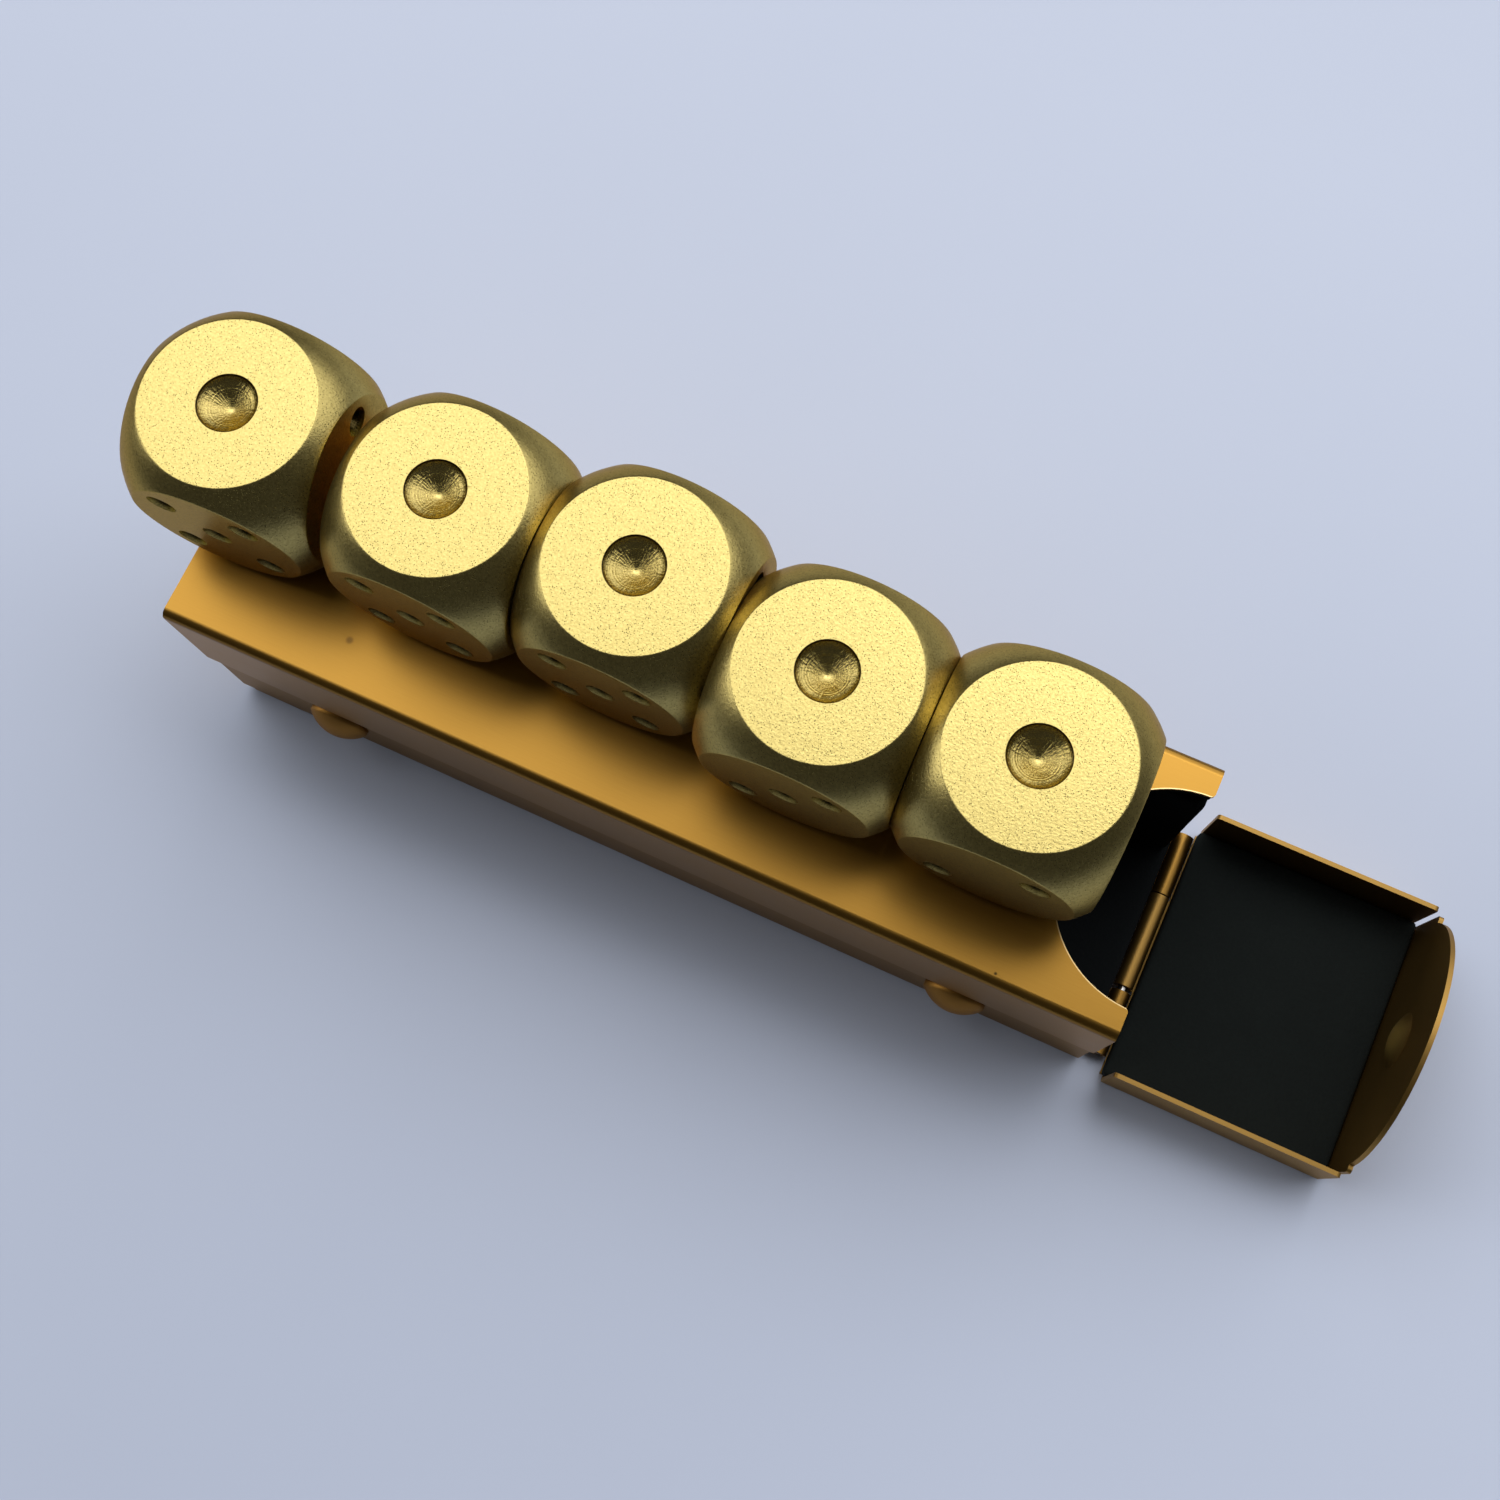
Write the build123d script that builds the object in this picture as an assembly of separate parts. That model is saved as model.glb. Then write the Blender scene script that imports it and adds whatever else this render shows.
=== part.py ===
from build123d import *
import math
import os

os.makedirs("parts", exist_ok=True)

# Dice tube: a folded sheet case with a hinged end lid, and a row of five dice that stands on its top wall.
# Millimetres. X runs along the case towards the lid, Y to the far side, Z up.
# The origin is the middle of the case's bottom face, and the lid lies open on the same table.

# Dice
die_count = 5
die_size = 16.0        # across two flats
die_ball_d = 21.0      # ball that rounds off the cube's corners and edges
pip_pitch = 3.5        # from a face's middle to a pip row
pip_d = 2.4
ace_d = 4.7            # the large single pip
pip_angle = 118.0      # drill point
pip_sides = 12         # small round forms have few flat sides, because they repeat
ace_sides = 24
ace_rim = 0.15         # straight rim above the cone
ace_tip_d = 1.1        # flattened bottom of the large pip
ace_tip_h = 0.12

# Sheet and folds
sheet = 0.4
fold_r = 0.8           # outside radius of the case's folds
lid_fold_r = 0.6
corner_r = 0.35        # rounded corners of the cut sheet

# Case, built up around one row of dice with foam on every side
lining_t = 2.1
side_slack = 0.78      # beside the dice, to the foam
head_slack = 1.0       # above the dice, to the foam
bay_slack = 1.9        # along the row, to the open end
channel_gap = 0.02     # between the cover's side walls and the tray's
wall_top_gap = 0.05    # from the tray's walls to the start of the cover's fold
foam_gap = 0.05        # behind each glued foam strip
seam_z = 10.6          # lower edge of the cover's side walls
notch_r = 9.05         # thumb notch in the cover's open end
roof_setback = 0.4     # foam cut back around the notch
mouth_setback = 0.05   # foam cut back from the open end
end_slot = 0.15        # beside the folded end wall
relief = 1.2           # corner relief at the end wall's fold

# Rivets
rivet_head_d = 5.5
rivet_head_h = 1.7
rivet_rim_h = 0.45
rivet_sides = 12
rivet_steps = 3        # rings of flats in a head's dome
rivet_shank_d = 3.0
rivet_tail_d = 4.6
rivet_tail_h = 0.6
rivet_hole_gap = 0.05
rivet_inset = 12.2     # from either end of the case
rivet_drop = 3.8       # below the seam

# Hinge
pin_d = 0.9
pin_gap = 0.03         # running fit around the pin
roll_mouth = 80.0      # degrees left open where a rolled knuckle ends
case_knuckle_len = 5.9
lid_knuckle_len = 8.9
knuckle_play = 0.6     # side play of the lid's knuckle
hinge_shift = 0.425    # the whole hinge stands towards the far side
lid_knuckle_push = 0.18  # the lid's knuckle within its play, towards the far side
leaf_gap = 0.12        # between a knuckle and the sheet beside it

# Lid
lid_pad_t = 1.7
lid_end_gap = 0.03     # pad to case end when closed
lid_side_gap = 0.23    # lid's side walls to the case when closed
lid_top_gap = 0.37     # tongue to the case's top wall when closed
lid_wall_h = 7.5
lid_wall_start = 0.45  # from the knuckle to the side walls
lid_corner_gap = 0.25   # open corner between side wall and tongue
tongue_inset = 0.27    # tongue's edge inside the side walls
tongue_reach = 16.75   # from the lid's outer face to the tongue's tip
tongue_r = 11.15
bump_r = 2.5           # pressed bump that drops into the thumb notch
bump_rise = 0.7
bump_gap = 0.13        # bump to the notch's edge when closed
pad_gap = 0.1

# Row of dice on the case's top wall
row_lift = 0.05
row_start = 4.5        # closed end of the case to the first die's middle
row_gaps = [1.7, 0.08, 0.06, 0.06]
row_shift = [2.7, 2.85, 3.4, 1.75, 2.1]
row_turns = [3.7, 0.0, 0.0, -90.0, 180.0]

# Sizes that follow
case_w = die_size + 2 * (side_slack + lining_t + 2 * sheet + channel_gap)
case_h = die_size + head_slack + 2 * (lining_t + sheet)
case_len = sheet + lining_t + die_count * die_size + bay_slack
closed_end = -case_len / 2
open_end = case_len / 2
tray_w = case_w - 2 * (sheet + channel_gap)
tray_top = case_h - fold_r - wall_top_gap
bay_w = tray_w - 2 * sheet
knuckle_r = pin_d / 2 + pin_gap + sheet
axis_z = knuckle_r
axis_x = open_end + sheet + lid_pad_t + lid_end_gap - axis_z
lid_in_w = case_w + 2 * lid_side_gap
lid_w = lid_in_w + 2 * sheet
tongue_in_x = axis_x + case_h - axis_z + lid_top_gap
plate_edge_x = axis_x + knuckle_r + leaf_gap
wall_start_x = axis_x + knuckle_r + lid_wall_start
wall_end_x = tongue_in_x - lid_corner_gap
tongue_w = lid_in_w - 2 * tongue_inset
knuckle_span = lid_knuckle_len + knuckle_play
lid_knuckle_y = hinge_shift + lid_knuckle_push + lid_knuckle_len / 2
rivet_z = seam_z - rivet_drop


def across(x):
    """Upright plane across the case at x: sketch right is +Y, sketch up is +Z, and it extrudes to +X."""
    return Plane(origin=(x, 0, 0), x_dir=(0, 1, 0), z_dir=(1, 0, 0))


def along(y, x=0.0, z=0.0):
    """Upright plane along the case at y: sketch right is +X, sketch up is +Z, and it extrudes to -Y."""
    return Plane(origin=(x, y, z), x_dir=(1, 0, 0), z_dir=(0, -1, 0))


def block(x0, x1, y0, y1, z0, z1):
    """Box from its lowest to its highest corner."""
    return Pos((x0 + x1) / 2, (y0 + y1) / 2, (z0 + z1) / 2) * Box(x1 - x0, y1 - y0, z1 - z0)


def channel(width, height, radius, up):
    """Section of a folded channel with its back at y = 0 and its walls running up or down."""
    side = 1 if up else -1
    outer = Pos(0, side * height / 2) * Rectangle(width, height)
    hollow = Pos(0, side * (sheet + height) / 2) * Rectangle(width - 2 * sheet, height - sheet)
    back = 0 if up else -1
    outer = fillet(outer.vertices().group_by(Axis.Y)[back], radius)
    hollow = fillet(hollow.vertices().group_by(Axis.Y)[back], radius - sheet)
    return outer - hollow


def elbow(length, height, radius):
    """Section of one fold, outer corner at the origin: a flat to +X and a wall upwards."""
    outer = Pos(length / 2, height / 2) * Rectangle(length, height)
    hollow = Pos((length + sheet) / 2, (height + sheet) / 2) * Rectangle(length - sheet, height - sheet)
    outer = fillet(outer.vertices().sort_by(lambda v: v.X + v.Y)[0], radius)
    hollow = fillet(hollow.vertices().sort_by(lambda v: v.X + v.Y)[0], radius - sheet)
    return outer - hollow


def turned(rings, sides):
    """Few-sided turning about Z through (radius, height) rings; a radius of 0 is a point."""
    sections = []
    for r, z in rings:
        sections.append(Vertex(0, 0, z) if r == 0 else (Pos(0, 0, z) * RegularPolygon(r, sides)).face())
    return loft(sections, ruled=True)


# Case

def case_cover():
    section = Pos(0, case_h) * channel(case_w, case_h - seam_z, fold_r, up=False)
    cover = extrude(across(closed_end) * section, case_len)
    cover -= Pos(open_end, 0, case_h) * Cylinder(notch_r, 4 * sheet)
    tips = [
        e for e in cover.edges().filter_by(Axis.Z)
        if abs(e.center().X - open_end) < sheet and abs(abs(e.center().Y) - notch_r) < sheet
    ]
    return fillet(tips, corner_r)


def rolled_knuckle(length, top_y, leaf_len, towards_lid):
    """Knuckle rolled from the bottom sheet around the pin, its leaf running to -X, or to +X for the lid."""
    ring = Circle(knuckle_r) - Circle(knuckle_r - sheet)
    start = 270 - roll_mouth
    reach = 2 * knuckle_r
    mouth = Polygon(
        (0, 0),
        (reach * math.cos(math.radians(start)), reach * math.sin(math.radians(start))),
        (-reach, -reach),
        (0, -reach),
        align=None,
    )
    leaf = Pos(-leaf_len / 2, sheet / 2 - knuckle_r) * Rectangle(leaf_len, sheet)
    profile = ring - mouth + leaf
    if towards_lid:
        profile = mirror(profile, about=Plane.YZ)
    return extrude(along(top_y, axis_x, axis_z) * profile, length)


def rivet_places():
    for x in (closed_end + rivet_inset, open_end - rivet_inset):
        for side in (-1, 1):
            yield x, side


def case_tray():
    section = channel(tray_w, tray_top, fold_r, up=True)
    tray = extrude(across(closed_end) * section, case_len)
    tray -= block(closed_end - relief, closed_end + relief, -tray_w, tray_w, -relief, relief)
    end_w = bay_w - 2 * end_slot
    tray += extrude(along(end_w / 2, closed_end) * elbow(relief + fold_r, tray_top, fold_r), end_w)
    far_top = hinge_shift + knuckle_span / 2 + case_knuckle_len
    near_top = hinge_shift - knuckle_span / 2
    leaf_len = axis_x - open_end + fold_r
    for top_y in (far_top, near_top):
        tray += rolled_knuckle(case_knuckle_len, top_y, leaf_len, towards_lid=False)
    for x, side in rivet_places():
        hole_r = rivet_shank_d / 2 + rivet_hole_gap
        hole = turned([(hole_r, -2 * sheet), (hole_r, 2 * sheet)], rivet_sides)
        tray -= Pos(x, side * tray_w / 2, rivet_z) * Rot(-90 * side, 0, 0) * hole
    return tray


def rivet():
    """One rivet on the Z axis, head up, with the tray's wall between z = -sheet and z = 0."""
    cap = rivet_head_h - rivet_rim_h
    crown_r = ((rivet_head_d / 2) ** 2 + cap ** 2) / (2 * cap)
    rings = [(rivet_head_d / 2, 0)]
    for step in range(rivet_steps):
        angle = math.asin(rivet_head_d / 2 / crown_r) * (1 - step / rivet_steps)
        rings.append((crown_r * math.sin(angle), rivet_head_h - crown_r * (1 - math.cos(angle))))
    rings.append((0, rivet_head_h))
    head = turned(rings, rivet_sides)
    shank = turned([(rivet_shank_d / 2, -sheet), (rivet_shank_d / 2, rivet_rim_h)], rivet_sides)
    tail = turned([(rivet_tail_d / 2, -sheet - rivet_tail_h), (rivet_tail_d / 2, -sheet)], rivet_sides)
    return head + shank + tail


def case_rivets():
    rivets = []
    for x, side in rivet_places():
        rivets.append(Pos(x, side * tray_w / 2, rivet_z) * Rot(-90 * side, 0, 0) * rivet())
    return Compound(children=rivets)


# Foam

def lining_span():
    return closed_end + sheet + foam_gap, open_end - mouth_setback


def clear_of_fold(pad, radius):
    """A pad with its lower edges cut back, so that it sits inside a fold of this radius."""
    return chamfer(pad.faces().sort_by(Axis.Z)[0].edges(), radius - sheet)


def lining_floor():
    x0, x1 = lining_span()
    y1 = bay_w / 2 - foam_gap
    strip = block(x0, x1, -y1, y1, sheet + foam_gap, sheet + lining_t)
    return clear_of_fold(strip, fold_r)


def side_lining(side):
    x0, x1 = lining_span()
    y0 = bay_w / 2 - lining_t
    y1 = bay_w / 2 - foam_gap
    strip = block(x0, x1, min(side * y0, side * y1), max(side * y0, side * y1),
                  sheet + lining_t + foam_gap, case_h - sheet - lining_t - foam_gap)
    for x, rivet_side in rivet_places():
        if rivet_side == side:
            pocket_r = rivet_tail_d / 2 + rivet_hole_gap
            pocket = turned([(pocket_r, -rivet_tail_h - rivet_hole_gap), (pocket_r, sheet)], rivet_sides)
            strip -= Pos(x, side * bay_w / 2, rivet_z) * Rot(-90 * side, 0, 0) * pocket
    return strip


def lining_roof():
    x0, x1 = lining_span()
    y1 = bay_w / 2 - foam_gap
    strip = block(x0, x1, -y1, y1, case_h - sheet - lining_t, case_h - sheet - foam_gap)
    return strip - Pos(open_end, 0, case_h) * Cylinder(notch_r + roof_setback, 4 * lining_t)


def lining_end():
    x0, _ = lining_span()
    y1 = bay_w / 2 - lining_t - foam_gap
    return block(x0, closed_end + sheet + lining_t, -y1, y1,
                 sheet + lining_t + foam_gap, case_h - sheet - lining_t - foam_gap)


def hinge_pin():
    length = knuckle_span + 2 * case_knuckle_len
    return Pos(axis_x, hinge_shift, axis_z) * Rot(90, 0, 0) * Cylinder(pin_d / 2, length)


# Lid, lying open

def tongue_outline():
    """Face of the tongue: square shoulders at the side walls' height, then a round crown."""
    stem = Pos(0, lid_wall_h / 2) * Rectangle(tongue_w, lid_wall_h)
    stem = fillet(stem.vertices().group_by(Axis.Y)[-1], corner_r)
    crown = Pos(0, tongue_reach - tongue_r) * Circle(tongue_r)
    below = Pos(0, -tongue_r) * Rectangle(4 * tongue_r, 2 * tongue_r + 2 * lid_fold_r)
    return stem + crown - below


def lid_shell():
    floor_len = tongue_in_x + sheet - plate_edge_x
    fold = mirror(elbow(floor_len, 2 * lid_fold_r, lid_fold_r), about=Plane.YZ)
    shell = extrude(along(tongue_w / 2, tongue_in_x + sheet) * fold, tongue_w)
    shell += extrude(across(tongue_in_x) * tongue_outline(), sheet)
    walls = extrude(across(wall_start_x) * channel(lid_w, lid_wall_h, lid_fold_r, up=True), wall_end_x - wall_start_x)
    high = walls.edges().filter_by(Axis.Y).group_by(Axis.Z)[-1]
    shell += fillet(high, corner_r)
    leaf_len = plate_edge_x - axis_x + lid_fold_r
    shell += rolled_knuckle(lid_knuckle_len, lid_knuckle_y, leaf_len, towards_lid=True)
    return pressed_bump(shell)


def pressed_bump(shell):
    """Round bump pressed inwards, so placed that it drops into the thumb notch when the lid is closed."""
    bump_z = axis_x + axis_z - (open_end - notch_r) - bump_gap - bump_r
    crown_r = (bump_r ** 2 + bump_rise ** 2) / (2 * bump_rise)
    centre = Pos(tongue_in_x - bump_rise + crown_r, 0, bump_z)
    reach = 2 * crown_r
    inside = block(tongue_in_x - reach, tongue_in_x + sheet / 2, -reach, reach, bump_z - reach, bump_z + reach)
    shell += centre * Sphere(crown_r) & inside
    return shell - centre * Sphere(crown_r - sheet)


def lid_pad():
    y1 = lid_in_w / 2 - pad_gap
    pad = block(plate_edge_x, tongue_in_x - pad_gap, -y1, y1, sheet + foam_gap, sheet + lid_pad_t)
    return clear_of_fold(fillet(pad.edges().filter_by(Axis.Z), 2 * corner_r), lid_fold_r)


# Dice

def pip_cutter():
    """Cone for a small pip, its rim at z = 0, carried on above it."""
    slope = math.tan(math.radians(90 - pip_angle / 2))
    depth = pip_d / 2 * slope
    return turned([(0, -depth), (pip_d, depth)], pip_sides)


def ace_cutter():
    """Large pip: a straight rim, a cone, and a nearly flat bottom."""
    slope = math.tan(math.radians(90 - pip_angle / 2))
    cone_end = -ace_rim - (ace_d - ace_tip_d) / 2 * slope
    rings = [(0, cone_end - ace_tip_h), (ace_tip_d / 2, cone_end), (ace_d / 2, -ace_rim), (ace_d / 2, ace_rim)]
    return turned(rings, ace_sides)


def pip_spots(count):
    """Places of the pips on one face, as steps of the pip pitch seen from outside."""
    spots = []
    if count % 2:
        spots.append((0, 0))
    if count > 1:
        spots += [(-1, -1), (1, 1)]
    if count > 3:
        spots += [(-1, 1), (1, -1)]
    if count == 6:
        spots += [(-1, 0), (1, 0)]
    return spots


def face_planes():
    half = die_size / 2
    return {
        1: Plane(origin=(0, 0, half), x_dir=(1, 0, 0), z_dir=(0, 0, 1)),
        2: Plane(origin=(0, half, 0), x_dir=(-1, 0, 0), z_dir=(0, 1, 0)),
        3: Plane(origin=(half, 0, 0), x_dir=(0, 1, 0), z_dir=(1, 0, 0)),
        4: Plane(origin=(-half, 0, 0), x_dir=(0, -1, 0), z_dir=(-1, 0, 0)),
        5: Plane(origin=(0, -half, 0), x_dir=(1, 0, 0), z_dir=(0, -1, 0)),
        6: Plane(origin=(0, 0, -half), x_dir=(1, 0, 0), z_dir=(0, 0, -1)),
    }


def die():
    body = Sphere(die_ball_d / 2) & Box(die_size, die_size, die_size)
    small = pip_cutter()
    ace = ace_cutter()
    for count, plane in face_planes().items():
        tool = ace if count == 1 else small
        for u, v in pip_spots(count):
            body -= plane * Pos(u * pip_pitch, v * pip_pitch, 0) * tool
    return body


def placed_dice():
    """The row on the top wall: each die's name and place."""
    x = closed_end + row_start
    z = case_h + row_lift + die_size / 2
    one = die()
    for number in range(die_count):
        place = Pos(x, row_shift[number], z) * Rot(0, 0, row_turns[number])
        yield f"die_{number + 1}", place * one
        if number < len(row_gaps):
            x += die_size + row_gaps[number]


nodes = {
    "case_cover": case_cover(),
    "case_tray": case_tray(),
    "case_rivets": case_rivets(),
    "lining_floor": lining_floor(),
    "lining_near": side_lining(-1),
    "lining_far": side_lining(1),
    "lining_roof": lining_roof(),
    "lining_end": lining_end(),
    "hinge_pin": hinge_pin(),
    "lid_shell": lid_shell(),
    "lid_pad": lid_pad(),
}
nodes.update(placed_dice())

for name, solid in nodes.items():
    export_step(solid, f"parts/{name}.step")
    print(name, "volume", round(solid.volume, 2))
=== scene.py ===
# %% [markdown]
# # A dice case folded from sheet, and its five dice
# The real object is a small case folded from gold anodised sheet, lined with foam, with an end lid on a
# rolled hinge. Five fine-blasted metal dice stand in a row on its top wall. The sheet parts already have
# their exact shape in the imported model, so here they only need a finish. The dice, the rivets and the foam
# are made again with rounder and softer surfaces, because those are what catch the light.

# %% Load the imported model
import math
import bmesh
import bpy
from mathutils import Euler, Matrix, Vector


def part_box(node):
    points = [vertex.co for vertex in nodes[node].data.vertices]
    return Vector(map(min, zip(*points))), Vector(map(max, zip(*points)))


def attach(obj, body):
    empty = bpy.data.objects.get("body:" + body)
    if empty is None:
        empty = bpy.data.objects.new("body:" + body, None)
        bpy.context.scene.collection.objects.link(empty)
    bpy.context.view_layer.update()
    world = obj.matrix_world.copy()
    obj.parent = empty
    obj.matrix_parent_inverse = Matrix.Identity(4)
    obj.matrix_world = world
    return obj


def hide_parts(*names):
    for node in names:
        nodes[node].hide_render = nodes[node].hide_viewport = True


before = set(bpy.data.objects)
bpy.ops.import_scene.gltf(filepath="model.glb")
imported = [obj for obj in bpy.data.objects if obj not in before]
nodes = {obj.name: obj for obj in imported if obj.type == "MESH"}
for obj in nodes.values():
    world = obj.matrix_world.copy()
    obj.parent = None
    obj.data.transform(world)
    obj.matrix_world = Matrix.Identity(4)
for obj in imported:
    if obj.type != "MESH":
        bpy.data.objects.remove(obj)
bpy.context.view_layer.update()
mm = 0.001

# %% [markdown]
# ## Small helpers for meshes
# Every finished piece is a plain mesh whose object stays at the origin. A mesh can be made with bmesh, or as
# a Geometry Nodes tree on a carrier object that is evaluated once. Both end in the same helper, which adds
# the piece to the scene.

# %% Mesh helpers
def show(name, mesh):
    """Put a mesh into the scene as an object at the origin."""
    piece = bpy.data.objects.new(name, mesh)
    bpy.context.scene.collection.objects.link(piece)
    return piece


def settle(piece):
    """Apply every modifier by taking the evaluated mesh, then drop the modifiers."""
    bpy.context.view_layer.update()
    graph = bpy.context.evaluated_depsgraph_get()
    mesh = bpy.data.meshes.new_from_object(piece.evaluated_get(graph))
    piece.modifiers.clear()
    piece.data = mesh
    mesh.name = piece.name
    return piece


def report(piece):
    print(piece.name, "has", len(piece.data.polygons), "faces")
    return piece


# %% [markdown]
# ## One helper for every kind of node tree
# Shader trees and geometry trees are wired the same way. Written out by hand, each node takes four lines
# and the idea of the tree gets lost in them. So one function adds a node, sets its options, and either sets
# an input's value or links another node's output to it.

# %% Add a node
def add(tree, kind, inputs=None, **options):
    """Add a node. An input given as a socket is linked, anything else is its value."""
    node = tree.nodes.new(kind)
    for option, value in options.items():
        setattr(node, option, value)
    for key, value in (inputs or {}).items():
        if isinstance(value, bpy.types.NodeSocket):
            tree.links.new(value, node.inputs[key])
        else:
            node.inputs[key].default_value = value
    return node


# %% [markdown]
# ## Arithmetic in one line
# Most masks and shapes are a little arithmetic on a place: split it, measure how far it is from something,
# and stretch that range to run from 0 to 1. Each helper here is one node and gives back its output socket,
# so that they nest like a formula.

# %% Arithmetic helpers
gives_number = ("DISTANCE", "LENGTH", "DOT_PRODUCT")


def calc(tree, operation, *values):
    """One Math node, as its output socket."""
    return add(tree, "ShaderNodeMath", dict(enumerate(values)), operation=operation).outputs[0]


def vector_calc(tree, operation, *values):
    """One Vector Math node, as its output socket."""
    node = add(tree, "ShaderNodeVectorMath", dict(enumerate(values)), operation=operation)
    return node.outputs["Value" if operation in gives_number else "Vector"]


def split(tree, vector):
    """The X, Y and Z of a vector, as three output sockets."""
    return list(add(tree, "ShaderNodeSeparateXYZ", {"Vector": vector}).outputs)


def join(tree, x=0.0, y=0.0, z=0.0):
    """A vector from three numbers."""
    return add(tree, "ShaderNodeCombineXYZ", {"X": x, "Y": y, "Z": z}).outputs[0]


def remap(tree, value, start, stop, low=0.0, high=1.0, smooth=False):
    """Stretch the values from start to stop so that they run from low to high, and clamp the rest."""
    return add(tree, "ShaderNodeMapRange",
               {"Value": value, "From Min": start, "From Max": stop, "To Min": low, "To Max": high},
               interpolation_type="SMOOTHSTEP" if smooth else "LINEAR").outputs[0]


def noise(tree, place, scale, detail, roughness=0.5):
    """A Noise Texture's value at a place."""
    return add(tree, "ShaderNodeTexNoise",
               {"Vector": place, "Scale": scale, "Detail": detail, "Roughness": roughness}).outputs[0]


def blend(tree, share, first, second):
    """Mix two colours, as an output socket."""
    node = add(tree, "ShaderNodeMix", data_type="RGBA")
    for index, value in ((0, share), (6, first), (7, second)):
        if isinstance(value, bpy.types.NodeSocket):
            tree.links.new(value, node.inputs[index])
        else:
            node.inputs[index].default_value = value
    return node.outputs[2]


# %% [markdown]
# ## Groups
# An effect that several finishes share is a node group with named sockets. It is built once, and each
# finish places it with its own values. Groups hold only patterns and masks: the shader stays in the
# material.

# %% Group helpers
def group_tree(name, kind, inputs, outputs):
    """A node group with named sockets, as the tree, its input node and its output node."""
    tree = bpy.data.node_groups.new(name, kind)
    for label, (socket_type, value) in inputs.items():
        socket = tree.interface.new_socket(label, in_out="INPUT", socket_type="NodeSocket" + socket_type)
        if value is not None:
            socket.default_value = value
    for label, socket_type in outputs.items():
        tree.interface.new_socket(label, in_out="OUTPUT", socket_type="NodeSocket" + socket_type)
    return tree, tree.nodes.new("NodeGroupInput"), tree.nodes.new("NodeGroupOutput")


def effect_tree(name, settings, results):
    """A shader group that takes a place and some numbers, and gives numbers back."""
    inputs = {"Vector": ("Vector", None), **{label: ("Float", None) for label in settings}}
    tree, start, end = group_tree(name, "ShaderNodeTree", inputs, {label: "Float" for label in results})
    return tree, start.outputs, end


def put_out(tree, end, **sockets):
    """Link each socket to the group's output of that name."""
    for label, socket in sockets.items():
        tree.links.new(socket, end.inputs[label])


# %% [markdown]
# ## Specks
# Blasted and anodised metal both carry tiny dark specks. Voronoi cells give evenly scattered dots, and
# keeping only the cells whose random colour is low leaves a few of them. Each finish chooses its own size
# and share.

# %% Speck group
def make_specks():
    tree, given, end = effect_tree("Specks", ("Scale", "Size", "Share"), ("Mask",))
    cells = add(tree, "ShaderNodeTexVoronoi", {"Vector": given["Vector"], "Scale": given["Scale"]})
    near = calc(tree, "LESS_THAN", cells.outputs["Distance"], given["Size"])
    luck = add(tree, "ShaderNodeSeparateColor", {"Color": cells.outputs["Color"]}).outputs["Red"]
    kept = calc(tree, "LESS_THAN", luck, given["Share"])
    put_out(tree, end, Mask=calc(tree, "MULTIPLY", near, kept))
    return tree


specks = make_specks()
print("group", specks.name, "has", len(specks.nodes), "nodes")

# %% [markdown]
# ## Blasted skin
# Fine blasting leaves a surface of tiny facets. A fine noise gives the grain that the eye reads as matt
# metal, a coarser one makes the light patches wander a little, and the specks are the deeper pits.

# %% Blasted skin group
pit_size = 0.24
drift_share = 0.12
drift_coarseness = 0.3


def make_blasted_skin():
    tree, given, end = effect_tree("Blasted skin", ("Grain", "Pits", "Pit Share"),
                                   ("Tone", "Pit", "Height"))
    place = given["Vector"]
    grain = noise(tree, place, given["Grain"], detail=3.0, roughness=0.6)
    coarse = calc(tree, "MULTIPLY", given["Grain"], drift_coarseness)
    drift = noise(tree, place, coarse, detail=2.0)
    pit = add(tree, "ShaderNodeGroup",
              {"Vector": place, "Scale": given["Pits"], "Size": pit_size, "Share": given["Pit Share"]},
              node_tree=specks).outputs["Mask"]
    fine = calc(tree, "MULTIPLY", grain, 1 - drift_share)
    put_out(tree, end, Tone=calc(tree, "MULTIPLY_ADD", drift, drift_share, fine), Pit=pit,
            Height=calc(tree, "SUBTRACT", grain, pit))
    return tree


blasted_skin = make_blasted_skin()
print("group", blasted_skin.name, "has", len(blasted_skin.nodes), "nodes")

# %% [markdown]
# ## Satin sheet
# Rolled and anodised sheet keeps a faint grain along the rolling direction. Stretching the coordinates
# before the noise draws it out into fine lines. Handling leaves a few specks on top.

# %% Satin sheet group
patch_scale = 160.0
patch_share = 0.55
speck_scale = 420.0
speck_size = 0.05


def make_satin_sheet():
    tree, given, end = effect_tree("Satin sheet", ("Along", "Across", "Speck Share"),
                                   ("Tone", "Speck", "Height"))
    place = given["Vector"]
    drawn = vector_calc(tree, "MULTIPLY", place,
                        join(tree, given["Along"], given["Across"], given["Across"]))
    lines = noise(tree, drawn, 1.0, detail=3.0)
    patches = calc(tree, "MULTIPLY", noise(tree, place, patch_scale, detail=4.0), patch_share)
    speck = add(tree, "ShaderNodeGroup",
                {"Vector": place, "Scale": speck_scale, "Size": speck_size, "Share": given["Speck Share"]},
                node_tree=specks).outputs["Mask"]
    put_out(tree, end, Tone=calc(tree, "MULTIPLY_ADD", lines, 1 - patch_share, patches), Speck=speck,
            Height=lines)
    return tree


satin_sheet = make_satin_sheet()
print("group", satin_sheet.name, "has", len(satin_sheet.nodes), "nodes")

# %% [markdown]
# ## Drill marks
# The pips are drilled, and the drill tears fine streaks that run to the middle and leaves rings round it.
# Each pip carries an attribute that says where a point lies round the drill's axis and how far out, so
# the marks follow the tool and not the world. The drill's very tip rubs and leaves the middle smooth.

# %% Drill mark group
smooth_tip_mm = (0.1, 0.7)
ring_share = 0.35
chatter_share = 0.4


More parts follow.
